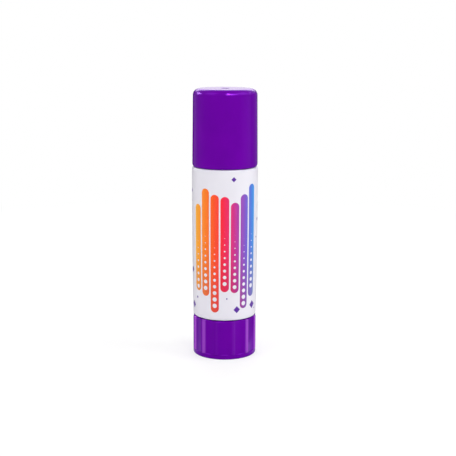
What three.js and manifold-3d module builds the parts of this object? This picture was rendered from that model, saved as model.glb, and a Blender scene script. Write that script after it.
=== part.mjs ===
// A closed twist-up glue stick, standing on its knob.
// Millimetres, +Z up, origin at the centre of the knob's underside.
// The knob turns the spindle, and the spindle lifts the carrier with the glue in it.
// Each piece is drawn in its own frame and set in place by its mesh's position.

import * as THREE from "three";
import { mergeVertices } from "three/addons/utils/BufferGeometryUtils.js";
import Module from "manifold-3d";

// Knob: fluted grip, foot ring, and the collar that snaps into the barrel
const knobHeight = 12.7;
const knobOverhang = 0.03;
const knobWall = 1.25;
const knobFloor = 1.5;
const knobDeck = 1.4;
const knobTopChamfer = 0.25;
const fluteCount = 12;
const fluteDepth = 0.42;
const fluteRunout = 0.8;
const landWidth = 0.9;
const landRise = 0.2;
const footHeight = 1.6;
const footRounding = 0.2;
const footRingWidth = 1.9;
const footRecess = 0.5;
const footRecessSlope = 0.4;
const collarHeight = 4.9;
const collarWall = 1.3;
const collarClearance = 0.15;
const collarChamfer = 0.3;
const snapHeight = 0.3;
const snapWidth = 1.2;
const snapRise = 2.4;
const snapClearance = 0.15;
const bossWall = 1.3;
const bossHeight = 7.0;
const webCount = 6;
const webThickness = 0.9;
const webHeight = 5.0;

// Barrel: bore, outer wall, neck under the cap, and guide ribs down the bore
const knobBarrelGap = 0.3;
const barrelLength = 48.25;
const boreRadius = 8.1;
const barrelWall = 1.95;
const barrelFlare = 0.4;
const barrelFootRounding = 0.3;
const shoulderRounding = 0.3;
const counterboreStep = 0.95;
const counterboreOverrun = 0.6;
const neckHeight = 12.35;
const neckWall = 0.95;
const neckRimRounding = 0.25;
const neckBeadHeight = 0.15;
const neckBeadWidth = 1.4;
const neckBeadRise = 3.25;
const guideRibCount = 4;
const guideRibWidth = 0.9;
const guideRibHeight = 0.45;
const guideRibStop = 1.0;

// Label: a film wrapped round the barrel
const labelThickness = 0.1;
const labelGap = 0.02;
const labelLowerMargin = 0.5;
const labelUpperMargin = 0.5;

// Cap: outer shell with a straight bore, and grip ribs in it
const capLength = 24.6;
const capSeatGap = 0.15;
const capWall = 0.95;
const capTopWall = 1.3;
const capTaper = 0.25;
const capCrownRounding = 2.1;
const capMouthRoundingDepth = 0.5;
const capMouthRoundingHeight = 1.2;
const capClearance = 0.1;
const capCeilingRounding = 0.6;
const gripRibCount = 12;
const gripRibHeight = 0.2;
const gripRibWidth = 0.7;
const gripRibStart = 3.2;
const gateRecessRadius = 1.35;
const gateRecessDepth = 0.35;

// Spindle: left-hand thread, so that the usual twist of the knob lifts the glue
const threadPitch = 4.0;
const threadRadius = 2.7;
const threadDepth = 0.7;
const threadCrestWidth = 0.9;
const threadFlankWidth = 0.5;
const spindleBelowRim = 7.5;
const threadRunIn = 0.8;
const spindleShank = 0.5;
const spindleTipTaper = 1.2;
const spindleTipStep = 0.9;
const flangeOverhang = 0.8;
const flangeThickness = 1.2;
const spindleFootFlats = 6.2;
const spindleFootLength = 5.6;
const socketClearance = 0.1;
const spindleSeatGap = 0.3;

// Carrier: cup, threaded hub and gussets
const carrierClearance = 0.2;
const carrierFloor = 1.2;
const cupDepth = 3.0;
const cupWall = 0.8;
const hubWall = 1.25;
const hubLength = 7.0;
const threadClearance = 0.25;
const gussetCount = 4;
const gussetThickness = 0.8;
const gussetHeight = 3.0;
const gussetReach = 2.6;
const anchorHoleRadius = 0.9;
const notchClearance = 0.2;

// Glue: what is left of a part-used stick, bored by the spindle
const glueLength = 16.0;
const glueBelowRim = 1.6;
const glueClearance = 0.3;
const glueCupGap = 0.1;
const glueBoreClearance = 0.4;
const glueEdgeRounding = 1.1;
const glueDome = 0.3;
const glueBoreChamfer = 0.4;

// Fineness of the round surfaces
const shellSteps = 56;
const innerSteps = 40;
const threadSteps = 18;
const stepsPerFlute = 6;
const arcSteps = 4;
const flareSteps = 6;
const mergeDistance = 1e-4;
const cutMargin = 1.0;

// Sizes that follow from the driving dimensions
const barrelFootRadius = boreRadius + barrelWall;
const barrelShoulderRadius = barrelFootRadius + barrelFlare;
const knobRadius = barrelFootRadius + labelGap + labelThickness + knobOverhang;
const landRadius = knobRadius + landRise;
const fluteFloorRadius = landRadius - fluteDepth;
const counterboreRadius = boreRadius + counterboreStep;
const collarRadius = counterboreRadius - collarClearance;
const collarBoreRadius = collarRadius - collarWall;
const snapRadius = collarRadius + snapHeight;
const neckRadius = boreRadius + neckWall;
const neckBeadRadius = neckRadius + neckBeadHeight;
const gripRibRadius = neckBeadRadius + capClearance;
const capBoreRadius = gripRibRadius + gripRibHeight;
const capMouthRadius = capBoreRadius + capWall;
const capCrownRadius = capMouthRadius - capTaper;
const threadRootRadius = threadRadius - threadDepth;
const spindleFootRadius = spindleFootFlats / Math.sqrt(3);
const bossRadius = spindleFootRadius + socketClearance + bossWall;
const flangeRadius = spindleFootRadius + flangeOverhang;
const hubRadius = threadRadius + threadClearance + hubWall;
const carrierRadius = boreRadius - carrierClearance;
const glueRadius = boreRadius - glueClearance;

// Heights of the pieces above the underside of the knob
const bossTop = footRecess + knobFloor + bossHeight;
const spindleBase = bossTop + spindleSeatGap;
const barrelBase = knobHeight + knobBarrelGap;
const shoulderHeight = barrelBase + barrelLength;
const rimHeight = shoulderHeight + neckHeight;
const capBase = shoulderHeight + capSeatGap;
const glueBase = rimHeight - glueBelowRim - glueLength;
const carrierBase = glueBase - glueCupGap - carrierFloor;

const manifold = await Module();
manifold.setup();

// A closed mesh becomes a solid that can be joined and cut.
function solidOf(geometry) {
  geometry.deleteAttribute("normal");
  geometry.deleteAttribute("uv");
  const merged = mergeVertices(geometry, mergeDistance);
  const corners = merged.index.array;
  const kept = [];
  for (let i = 0; i < corners.length; i += 3) {
    const [a, b, c] = [corners[i], corners[i + 1], corners[i + 2]];
    if (a !== b && b !== c && c !== a) kept.push(a, b, c);
  }
  return new manifold.Manifold(new manifold.Mesh({
    numProp: 3,
    vertProperties: Float32Array.from(merged.attributes.position.array),
    triVerts: Uint32Array.from(kept),
  }));
}

function geometryOf(solid) {
  const mesh = solid.getMesh();
  const geometry = new THREE.BufferGeometry();
  geometry.setAttribute("position", new THREE.BufferAttribute(mesh.vertProperties, 3));
  geometry.setIndex(new THREE.BufferAttribute(mesh.triVerts, 1));
  geometry.computeVertexNormals();
  return geometry;
}

// Points of an arc in the radius and height plane, with angles in degrees from the radius axis. The
// arc is a circle's, or an ellipse's where its extent upwards is given as well.
function arc(centreRadius, centreHeight, extent, fromDegrees, toDegrees, upwardExtent = extent) {
  const points = [];
  for (let i = 0; i <= arcSteps; i += 1) {
    const angle = THREE.MathUtils.degToRad(fromDegrees + (toDegrees - fromDegrees) * i / arcSteps);
    points.push([
      centreRadius + extent * Math.cos(angle),
      centreHeight + upwardExtent * Math.sin(angle),
    ]);
  }
  return points;
}

// A profile of [radius, height] points turned about the Z axis. The outside of the profile goes up.
function turned(profile, steps) {
  const points = profile.map(([radius, height]) => new THREE.Vector2(radius, height));
  const geometry = new THREE.LatheGeometry(points, steps);
  geometry.rotateX(Math.PI / 2);
  return solidOf(geometry);
}

// A ring-shaped profile closes on its first point.
function turnedRing(profile, steps) {
  return turned([...profile, profile[0]], steps);
}

function joined(solid, others) {
  return others.reduce((sum, other) => sum.add(other), solid);
}

function cut(solid, others) {
  return others.reduce((rest, other) => rest.subtract(other), solid);
}

// Copies of a geometry, drawn along +X, spread evenly round the Z axis.
function aroundAxis(count, makeGeometry, startDegrees = 0) {
  const copies = [];
  for (let i = 0; i < count; i += 1) {
    const geometry = makeGeometry();
    geometry.rotateZ(THREE.MathUtils.degToRad(startDegrees) + 2 * Math.PI * i / count);
    copies.push(solidOf(geometry));
  }
  return copies;
}

// An upright bar on +X between two radii and two heights.
function radialBar(innerRadius, outerRadius, width, bottom, top) {
  const geometry = new THREE.BoxGeometry(outerRadius - innerRadius, width, top - bottom);
  geometry.translate((innerRadius + outerRadius) / 2, 0, (bottom + top) / 2);
  return geometry;
}

function uprightCylinder(radius, bottom, top, steps) {
  const geometry = new THREE.CylinderGeometry(radius, radius, top - bottom, steps);
  geometry.rotateX(Math.PI / 2);
  geometry.translate(0, 0, (bottom + top) / 2);
  return geometry;
}

// A hexagonal prism with the given distance across its flats.
function hexagonalPrism(acrossFlats, bottom, top) {
  return uprightCylinder(acrossFlats / Math.sqrt(3), bottom, top, 6);
}

// A left-hand thread on the Z axis. Its section over one pitch is root, flank, crest, flank, and each
// step round the axis lowers the section by its share of the pitch. helixStart is a height where the
// crest's lower edge passes the +X side, and widening moves both flanks outwards.
function leftHandThread(rootRadius, crestRadius, helixStart, bottom, top, widening) {
  const section = [
    [rootRadius, -threadFlankWidth - widening],
    [crestRadius, -widening],
    [crestRadius, threadCrestWidth + widening],
    [rootRadius, threadCrestWidth + threadFlankWidth + widening],
  ];
  const firstTurn = Math.floor((bottom - helixStart) / threadPitch) - 1;
  const lastTurn = Math.ceil((top - helixStart) / threadPitch) + 2;
  const rows = [];
  for (let turn = firstTurn; turn <= lastTurn; turn += 1) {
    for (const [radius, rise] of section) rows.push([radius, helixStart + turn * threadPitch + rise]);
  }
  const positions = [];
  for (const [radius, height] of rows) {
    for (let step = 0; step <= threadSteps; step += 1) {
      const angle = 2 * Math.PI * step / threadSteps;
      const drop = threadPitch * step / threadSteps;
      positions.push(radius * Math.cos(angle), radius * Math.sin(angle), height - drop);
    }
  }
  const vertex = (row, step) => row * (threadSteps + 1) + step;
  const triangles = [];
  for (let row = 0; row + 1 < rows.length; row += 1) {
    for (let step = 0; step < threadSteps; step += 1) {
      const [a, b] = [vertex(row, step), vertex(row, step + 1)];
      const [c, d] = [vertex(row + 1, step), vertex(row + 1, step + 1)];
      triangles.push(a, b, d, a, d, c);
    }
  }
  // Each end closes on the axis: once round, then up or down the step that one turn leaves at +X.
  const turnRows = section.length;
  const lastRow = rows.length - 1;
  const lowCentre = positions.length / 3;
  positions.push(0, 0, rows[0][1] - threadPitch / 2);
  const highCentre = lowCentre + 1;
  positions.push(0, 0, rows[lastRow][1] - threadPitch / 2);
  for (let step = 0; step < threadSteps; step += 1) {
    triangles.push(lowCentre, vertex(0, step + 1), vertex(0, step));
    triangles.push(highCentre, vertex(lastRow, step), vertex(lastRow, step + 1));
  }
  for (let row = 0; row < turnRows; row += 1) {
    triangles.push(lowCentre, vertex(row + 1, threadSteps), vertex(row, threadSteps));
    triangles.push(highCentre, vertex(lastRow - row - 1, 0), vertex(lastRow - row, 0));
  }
  const geometry = new THREE.BufferGeometry();
  geometry.setAttribute("position", new THREE.Float32BufferAttribute(positions, 3));
  geometry.setIndex(triangles);
  return solidOf(geometry);
}

// The angles of the grip's columns, and the wall's radius there. The section of a flute is a flat arc
// between two lands, so it rises ever more steeply to the land on each side.
function gripColumns() {
  const pitch = 2 * Math.PI / fluteCount;
  const halfFlute = (pitch - landWidth / landRadius) / 2;
  const columns = [];
  for (let flute = 0; flute < fluteCount; flute += 1) {
    for (let step = 0; step <= stepsPerFlute; step += 1) {
      const across = 2 * step / stepsPerFlute - 1;
      columns.push({
        angle: flute * pitch + across * halfFlute,
        wallRadius: fluteFloorRadius + fluteDepth * across ** 2,
      });
    }
  }
  return columns;
}

// The grip: a foot ring, and above it a wall of lands and flutes. The third number of a profile point
// is how far its radius has gone over from the ring's to the wall's.
function flutedGrip() {
  const ringInner = knobRadius - footRingWidth;
  const fluteBottom = footHeight;
  const fluteFull = footHeight + fluteRunout;
  const profile = [
    [0, footRecess, 0],
    [ringInner - footRecessSlope, footRecess, 0],
    [ringInner, 0, 0],
    ...arc(knobRadius - footRounding, footRounding, footRounding, -90, 0).map((point) => [...point, 0]),
    [knobRadius, fluteBottom, 0],
    [knobRadius, (fluteBottom + fluteFull) / 2, 0.7],
    [knobRadius, fluteFull, 1],
    [knobRadius, knobHeight - knobTopChamfer, 1],
    [knobRadius - knobTopChamfer, knobHeight, 1],
    [0, knobHeight, 0],
  ];
  const columns = gripColumns();
  const steps = columns.length;
  const positions = [];
  for (const [radius, height, share] of profile) {
    for (const { angle, wallRadius } of columns) {
      const here = radius + share * (wallRadius - knobRadius);
      positions.push(here * Math.cos(angle), here * Math.sin(angle), height);
    }
  }
  const triangles = [];
  for (let row = 0; row + 1 < profile.length; row += 1) {
    for (let step = 0; step < steps; step += 1) {
      const next = (step + 1) % steps;
      const [a, b] = [row * steps + step, row * steps + next];
      const [c, d] = [a + steps, b + steps];
      triangles.push(a, b, d, a, d, c);
    }
  }
  const geometry = new THREE.BufferGeometry();
  geometry.setAttribute("position", new THREE.Float32BufferAttribute(positions, 3));
  geometry.setIndex(triangles);
  return solidOf(geometry);
}

// The knob is a cup that opens upwards. Its collar snaps into the barrel, and its boss holds the
// spindle's foot.
function knobGeometry() {
  const floorTop = footRecess + knobFloor;
  const hollowRadius = fluteFloorRadius - knobWall;
  const deckBottom = knobHeight - knobDeck;
  const collarTop = knobHeight + collarHeight;
  const snapBottom = knobHeight + snapRise;
  const snapTop = snapBottom + snapWidth;
  const collar = turned([
    [0, deckBottom],
    [collarRadius, deckBottom],
    [collarRadius, snapBottom],
    [snapRadius, snapBottom + snapHeight],
    [snapRadius, snapTop - snapHeight],
    [collarRadius, snapTop],
    [collarRadius, collarTop - collarChamfer],
    [collarRadius - collarChamfer, collarTop],
    [0, collarTop],
  ], shellSteps);
  const hollow = turned([
    [0, floorTop],
    [hollowRadius, floorTop],
    [hollowRadius, deckBottom],
    [collarBoreRadius, deckBottom],
    [collarBoreRadius, collarTop + cutMargin],
    [0, collarTop + cutMargin],
  ], innerSteps);
  const boss = turned([
    [0, footRecess + knobFloor / 2],
    [bossRadius, footRecess + knobFloor / 2],
    [bossRadius, bossTop],
    [0, bossTop],
  ], innerSteps);
  const webReach = hollowRadius + knobWall / 2;
  const webs = aroundAxis(webCount, () => radialBar(
    bossRadius / 2, webReach, webThickness, footRecess + knobFloor / 2, floorTop + webHeight));
  const socketFlats = spindleFootFlats + 2 * socketClearance;
  const socketBottom = bossTop - spindleFootLength - spindleSeatGap;
  const socket = solidOf(hexagonalPrism(socketFlats, socketBottom, bossTop + cutMargin));
  const shell = joined(flutedGrip(), [collar]).subtract(hollow);
  return geometryOf(joined(shell, [boss, ...webs]).subtract(socket));
}

// The spindle: a hexagonal foot, a flange that seats on the knob's boss, and the threaded rod.
function spindleGeometry() {
  const rodStart = flangeThickness + spindleShank;
  const rodTop = rimHeight - spindleBelowRim - spindleBase;
  const foot = solidOf(hexagonalPrism(spindleFootFlats, -spindleFootLength, flangeThickness / 2));
  const flange = turned([
    [0, 0],
    [flangeRadius, 0],
    [flangeRadius, flangeThickness],
    [0, flangeThickness],
  ], innerSteps);
  const shank = turned([
    [0, flangeThickness / 2],
    [threadRootRadius, flangeThickness / 2],
    [threadRootRadius, rodStart + threadRunIn],
    [0, rodStart + threadRunIn],
  ], threadSteps);
  const rodEnvelope = turned([
    [0, rodStart],
    [threadRootRadius, rodStart],
    [threadRadius + cutMargin, rodStart + threadRunIn + cutMargin],
    [threadRadius + cutMargin, rodTop - spindleTipTaper],
    [threadRadius, rodTop - spindleTipTaper],
    [threadRadius - spindleTipStep, rodTop],
    [0, rodTop],
  ], innerSteps);
  const thread = leftHandThread(threadRootRadius, threadRadius, 0, rodStart, rodTop, 0);
  return geometryOf(joined(thread.intersect(rodEnvelope), [shank, flange, foot]));
}

// The outside radius of the barrel at a height above its lower end. The wall flares most near the
// foot and stands almost upright below the shoulder.
function barrelRadiusAt(height) {
  return barrelFootRadius + barrelFlare * (1 - (1 - height / barrelLength) ** 3);
}

// Points up the barrel's wall from one height to another, moved outwards by a distance.
function barrelWallPoints(fromHeight, toHeight, outwards) {
  const points = [];
  for (let i = 0; i <= flareSteps; i += 1) {
    const height = fromHeight + (toHeight - fromHeight) * i / flareSteps;
    points.push([barrelRadiusAt(height) + outwards, height]);
  }
  return points;
}

// The barrel: a tube with a counterbore for the knob's collar, a neck for the cap and guide ribs.
function barrelGeometry() {
  const collarTop = collarHeight - knobBarrelGap;
  const counterboreTop = collarTop + counterboreOverrun;
  const grooveRadius = snapRadius + snapClearance;
  const grooveBottom = snapRise - knobBarrelGap - snapClearance;
  const grooveTop = grooveBottom + snapWidth + 2 * snapClearance;
  const grooveSlope = grooveRadius - counterboreRadius;
  const neckTop = barrelLength + neckHeight;
  const beadBottom = barrelLength + neckBeadRise;
  const tube = turnedRing([
    [counterboreRadius, 0],
    ...arc(barrelFootRadius - barrelFootRounding, barrelFootRounding, barrelFootRounding, -90, 0),
    ...barrelWallPoints(barrelFootRounding, barrelLength - shoulderRounding, 0).slice(1, -1),
    ...arc(barrelShoulderRadius - shoulderRounding, barrelLength - shoulderRounding,
      shoulderRounding, 0, 90),
    [neckRadius, barrelLength],
    [neckRadius, beadBottom],
    [neckBeadRadius, beadBottom + neckBeadWidth / 3],
    [neckBeadRadius, beadBottom + neckBeadWidth * 2 / 3],
    [neckRadius, beadBottom + neckBeadWidth],
    [neckRadius, neckTop - neckRimRounding],
    [neckRadius - neckRimRounding, neckTop],
    [boreRadius + neckRimRounding, neckTop],
    [boreRadius, neckTop - neckRimRounding],
    [boreRadius, counterboreTop],
    [counterboreRadius, counterboreTop],
    [counterboreRadius, grooveTop],
    [grooveRadius, grooveTop - grooveSlope],
    [grooveRadius, grooveBottom + grooveSlope],
    [counterboreRadius, grooveBottom],
  ], shellSteps);
  const ribs = aroundAxis(guideRibCount, () => radialBar(
    boreRadius - guideRibHeight, boreRadius + neckWall / 2, guideRibWidth,
    counterboreTop, neckTop - guideRibStop));
  return geometryOf(joined(tube, ribs));
}

// The label: a film that follows the barrel's wall between its two margins.
function labelGeometry() {
  const top = barrelLength - labelUpperMargin;
  const inside = barrelWallPoints(labelLowerMargin, top, labelGap);
  const outside = barrelWallPoints(labelLowerMargin, top, labelGap + labelThickness);
  return geometryOf(turnedRing([...outside, ...inside.reverse()], shellSteps));
}

// The cap: a cup that opens downwards. Its ribs grip the bead on the neck.
function capGeometry() {
  const ribTop = neckHeight - capSeatGap;
  const ceiling = capLength - capTopWall;
  const shell = turnedRing([
    [capBoreRadius, 0],
    ...arc(capMouthRadius - capMouthRoundingDepth, capMouthRoundingHeight,
      capMouthRoundingDepth, -90, 0, capMouthRoundingHeight),
    ...arc(capCrownRadius - capCrownRounding, capLength - capCrownRounding, capCrownRounding, 0, 90),
    [gateRecessRadius, capLength],
    [gateRecessRadius, capLength - gateRecessDepth],
    [0, capLength - gateRecessDepth],
    [0, ceiling],
    ...arc(capBoreRadius - capCeilingRounding, ceiling - capCeilingRounding,
      capCeilingRounding, 90, 0),
  ], shellSteps);
  const ribs = aroundAxis(gripRibCount, () => radialBar(
    gripRibRadius, capBoreRadius + capWall / 2, gripRibWidth, gripRibStart, ribTop));
  return geometryOf(joined(shell, ribs));
}

// Bars that cut the notches for the barrel's guide ribs.
function guideNotches(bottom, top) {
  return aroundAxis(guideRibCount, () => radialBar(
    boreRadius - guideRibHeight - notchClearance, boreRadius + cutMargin,
    guideRibWidth + 2 * notchClearance, bottom - cutMargin, top + cutMargin));
}

// A triangular gusset between the carrier's hub and the underside of its floor.
function gussetBlank() {
  const insideHub = hubRadius - hubWall / 2;
  const insideFloor = carrierFloor / 2;
  const outline = new THREE.Shape();
  outline.moveTo(insideHub, insideFloor);
  outline.lineTo(insideHub, -gussetHeight);
  outline.lineTo(hubRadius, -gussetHeight);
  outline.lineTo(hubRadius + gussetReach, 0);
  outline.lineTo(hubRadius + gussetReach, insideFloor);
  const geometry = new THREE.ExtrudeGeometry(outline, { depth: gussetThickness, bevelEnabled: false });
  geometry.rotateX(Math.PI / 2);
  geometry.translate(0, gussetThickness / 2, 0);
  return geometry;
}

// The carrier: a shallow cup for the glue, with a threaded hub below it.
function carrierGeometry() {
  const cupTop = carrierFloor + cupDepth;
  const cup = turned([
    [0, -hubLength],
    [hubRadius, -hubLength],
    [hubRadius, 0],
    [carrierRadius, 0],
    [carrierRadius, cupTop],
    [carrierRadius - cupWall, cupTop],
    [carrierRadius - cupWall, carrierFloor],
    [0, carrierFloor],
  ], innerSteps);
  const gussets = aroundAxis(gussetCount, gussetBlank);
  const thread = leftHandThread(
    threadRootRadius + threadClearance, threadRadius + threadClearance,
    spindleBase - carrierBase, -hubLength - cutMargin, carrierFloor + cutMargin, threadClearance);
  const anchorHoles = aroundAxis(gussetCount, () => {
    const hole = uprightCylinder(anchorHoleRadius, -cutMargin, carrierFloor + cutMargin, threadSteps / 2);
    hole.translate((hubRadius + carrierRadius - cupWall) / 2, 0, 0);
    return hole;
  }, 180 / gussetCount);
  const blank = joined(cup, gussets);
  return geometryOf(cut(blank, [thread, ...anchorHoles, ...guideNotches(-hubLength, cupTop)]));
}

// The glue fills the cup and stands above it, with a worn, slightly domed top.
function glueGeometry() {
  const footRadius = carrierRadius - cupWall - glueCupGap;
  const cupTop = cupDepth - glueCupGap;
  const boreRadiusInGlue = threadRadius + glueBoreClearance;
  const edgeTop = glueLength - glueDome;
  const body = turnedRing([
    [boreRadiusInGlue, 0],
    [footRadius, 0],
    [footRadius, cupTop + glueCupGap],
    [glueRadius, cupTop + glueCupGap],
    ...arc(glueRadius - glueEdgeRounding, edgeTop - glueEdgeRounding, glueEdgeRounding, 0, 90),
    [boreRadiusInGlue + glueBoreChamfer, glueLength],
    [boreRadiusInGlue, glueLength - glueBoreChamfer],
  ], innerSteps);
  return geometryOf(cut(body, guideNotches(0, glueLength)));
}

function placed(name, geometry, height, material) {
  const mesh = new THREE.Mesh(geometry, new THREE.MeshStandardMaterial(material));
  mesh.name = name;
  mesh.position.z = height;
  return mesh;
}

const violet = 0x6a009c;
const white = 0xe9e6ef;
const naturalWhite = 0xe6e2d8;
const glueViolet = 0x8a4fb8;

const glueStick = new THREE.Group();
glueStick.add(
  placed("knob", knobGeometry(), 0, { color: violet, roughness: 0.3, metalness: 0 }),
  placed("spindle", spindleGeometry(), spindleBase, { color: naturalWhite, roughness: 0.4, metalness: 0 }),
  placed("barrel", barrelGeometry(), barrelBase, { color: white, roughness: 0.35, metalness: 0 }),
  placed("label", labelGeometry(), barrelBase, { color: 0xf2f0f5, roughness: 0.25, metalness: 0 }),
  placed("carrier", carrierGeometry(), carrierBase, { color: naturalWhite, roughness: 0.4, metalness: 0 }),
  placed("glue", glueGeometry(), glueBase, { color: glueViolet, roughness: 0.55, metalness: 0 }),
  placed("cap", capGeometry(), capBase, { color: violet, roughness: 0.22, metalness: 0 }),
);

export default glueStick;
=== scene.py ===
"""Looks of a closed twist-up glue stick, dressed round its packed construction model.

The stick stands on its knob at the origin. Its sizes are in millimetres and become metres in each
mesh. Floor, cards, lamps and camera are placed in metres.
"""

import math
from functools import partial

import bpy
import numpy as np
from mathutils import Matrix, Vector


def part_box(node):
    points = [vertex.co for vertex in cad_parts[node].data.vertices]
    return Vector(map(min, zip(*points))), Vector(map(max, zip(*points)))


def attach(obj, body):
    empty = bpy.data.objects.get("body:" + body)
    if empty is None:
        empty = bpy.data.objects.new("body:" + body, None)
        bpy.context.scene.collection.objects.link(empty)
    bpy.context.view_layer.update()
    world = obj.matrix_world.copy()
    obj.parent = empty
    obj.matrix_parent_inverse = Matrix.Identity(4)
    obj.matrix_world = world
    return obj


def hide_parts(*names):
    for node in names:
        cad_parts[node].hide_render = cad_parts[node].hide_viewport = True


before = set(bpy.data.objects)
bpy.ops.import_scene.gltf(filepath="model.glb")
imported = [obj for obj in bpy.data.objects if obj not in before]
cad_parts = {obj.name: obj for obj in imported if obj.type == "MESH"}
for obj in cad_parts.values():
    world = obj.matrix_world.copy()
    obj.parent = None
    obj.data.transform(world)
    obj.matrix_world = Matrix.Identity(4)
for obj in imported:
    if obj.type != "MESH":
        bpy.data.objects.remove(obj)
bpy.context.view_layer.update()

MM = 0.001
TURN = 2 * math.pi


def extent(node):
    """Outer radius, lower end and upper end of a node of the frame, in mm."""
    low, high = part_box(node)
    return high.x / MM, low.z / MM, high.z / MM


knob_radius, _, knob_top = extent("knob")
barrel_radius, barrel_base, barrel_rim = extent("barrel")
label_radius, label_base, label_top = extent("label")
cap_radius, cap_mouth, cap_top = extent("cap")
glue_radius, glue_base, glue_top = extent("glue")
_, spindle_base, spindle_top = extent("spindle")

# Roundings of edges, from nearly sharp to soft
SHARP = 0.05
CRISP = 0.1
EASED = 0.15
SOFT = 0.2
SOFTER = 0.25
ROUND = 0.3

# Columns of points round the pieces
CAP_COLUMNS = 480
BARREL_COLUMNS = 360
COLUMNS_PER_FLUTE = 36
SPINDLE_COLUMNS = 84
GLUE_COLUMNS = 360

# A row of points this close to the radius of a wall lies on it
ON_WALL = 0.02

# Half the width over which the long edges of ribs, grooves and the thread go over to the wall
RIB_EDGE_BLUR = 0.08
NOTCH_EDGE_BLUR = 0.1
THREAD_EDGE_BLUR = 0.05

# Barrel and neck
BORE_RADIUS = 8.1
BARREL_FOOT_RADIUS = 10.05
OUTER_WALL_DEPTH = 0.4
SHOULDER_HEIGHT = 61.25
NECK_RADIUS = 9.05
NECK_BEAD_RADIUS = 9.2
NECK_BEAD_RISE = 3.25
NECK_BEAD_WIDTH = 1.4
COUNTERBORE_RADIUS = 9.05
COUNTERBORE_TOP = 18.2
SNAP_GROOVE_RADIUS = 9.35
SNAP_GROOVE_HEIGHTS = (14.95, 16.45)
GUIDE_RIBS = 4
GUIDE_RIB_WIDTH = 0.9
GUIDE_RIB_HEIGHT = 0.45
GUIDE_RIB_STOP = 1.0
GUIDE_RIB_RUNOUT = 0.3

# Label film. The lap's lift is in thicknesses of film, and its ramp in radians short of one turn.
FILM_THICKNESS = 0.06
FILM_GAP = 0.02
FILM_OVERLAP = 3.0
FILM_SEAM_DEGREES = 62.0
FILM_EDGE_HOLD = 0.03
FILM_STEPS = 720
FILM_ROWS = 24
LAP_LIFT = 1.2
LAP_RAMP_START = 0.06
LAP_RAMP_END = 0.005

# Cap
CAP_CROWN_RADIUS = 10.2
CAP_CROWN_ROUNDING = 2.1
CAP_MOUTH_ROUNDING = 0.5
CAP_MOUTH_RISE = 1.2
CAP_BORE_RADIUS = 9.5
CAP_TOP_WALL = 1.3
CAP_CEILING_ROUNDING = 0.6
GATE_RECESS_RADIUS = 1.35
GATE_RECESS_DEPTH = 0.35
GATE_EDGE_ROUNDING = 0.07
GRIP_RIBS = 12
GRIP_RIB_WIDTH = 0.7
GRIP_RIB_HEIGHT = 0.2
GRIP_RIB_START = 3.2
GRIP_RIB_END = 12.2
GRIP_RIB_RUNOUT = 0.6

# Knob
GRIP_TOP = 12.7
FLUTES = 12
FLUTE_DEPTH = 0.42
FLUTE_FOOT = 1.4
FLUTE_RUNOUT = 0.35
LAND_WIDTH = 0.9
LAND_RISE = 0.2
LAND_EDGE_EASE = 0.1
# Paler bands on the knob's lands: partly wear, partly a painted highlight, strongest at its two sides
RUB_HIGHLIGHT_WIDTH = 1.2
RUB_HIGHLIGHT_BLUR = 0.25
RUB_HIGHLIGHT_SPREAD = 1.06
RUB_HIGHLIGHT_TURN = math.radians(2.0)
RUB_HIGHLIGHT_FROM_SIDE = 0.15
RUB_HIGHLIGHT_FULL_SIDE = 0.95
FOOT_ROUNDING = 0.45
FOOT_INNER_ROUNDING = 0.12
FOOT_RING_WIDTH = 1.9
FOOT_RING_SLOPE = 0.4
FOOT_RECESS = 0.5
KNOB_FLOOR_TOP = 2.0
KNOB_WALL = 1.25
KNOB_DECK = 1.4
BOSS_RADIUS = 4.98
BOSS_TOP = 9.0
SOCKET_FLATS = 6.4
SOCKET_DEPTH = 5.9
COLLAR_RADIUS = 8.9
COLLAR_BORE_RADIUS = 7.6
SNAP_RADIUS = 9.2
SNAP_HEIGHTS = (15.1, 16.3)

# Spindle
THREAD_PITCH = 4.0
THREAD_RADIUS = 2.7
THREAD_ROOT_RADIUS = 2.0
THREAD_CREST_WIDTH = 0.9
THREAD_FLANK_WIDTH = 0.5
THREAD_START = 11.2
THREAD_RUN_IN = 0.8
FLANGE_BASE = 9.3
FLANGE_RADIUS = 4.38
FLANGE_THICKNESS = 1.2
FOOT_FLATS = 6.2
SPINDLE_TIP_TAPER = 1.2

# Glue
GLUE_FOOT_RADIUS = 7.0
GLUE_STEP = 3.0
GLUE_BORE_RADIUS = 3.1
GLUE_BORE_ROUNDING = 0.45
GLUE_EDGE_ROUNDING = 1.1
GLUE_EDGE_FALL = 0.3
NOTCH_DEPTH = 0.45
NOTCH_WIDTH = 1.3
NOTCH_START_RADIUS = 5.5
WORN_REACH = 2.2
WORN_FULL = 0.4
WORN_DEPTH = 0.13
SLOW_WAVE_HEIGHT = 0.09
RIPPLE_HEIGHT = 0.035


# Shapes


def smooth_step(value, low, high):
    """0 below low, 1 above high, and a cubic S-curve between them."""
    share = np.clip((value - low) / (high - low), 0, 1)
    return share * share * (3 - 2 * share)


def off_nearest(value, period):
    """How far a value lies from the nearest multiple of a period."""
    return np.abs((value + period / 2) % period - period / 2)


def even_angles(count):
    """Angles that divide one turn evenly."""
    return np.linspace(0, TURN, count, endpoint=False)


def near_spokes(angles, count, width, radius, blur):
    """1 on each of count bars of a width that lie evenly round the axis, 0 between them, from their
    distance along the circle of that radius, with a blurred edge."""
    from_spoke = off_nearest(angles, TURN / count) * radius
    return 1 - smooth_step(from_spoke, width / 2 - blur, width / 2 + blur)


def hexagon_reach(angles):
    """How far out a hexagon's side lies at each angle, as a multiple of the radius of its flats."""
    return 1 / np.cos(off_nearest(angles, TURN / 6))


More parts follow.
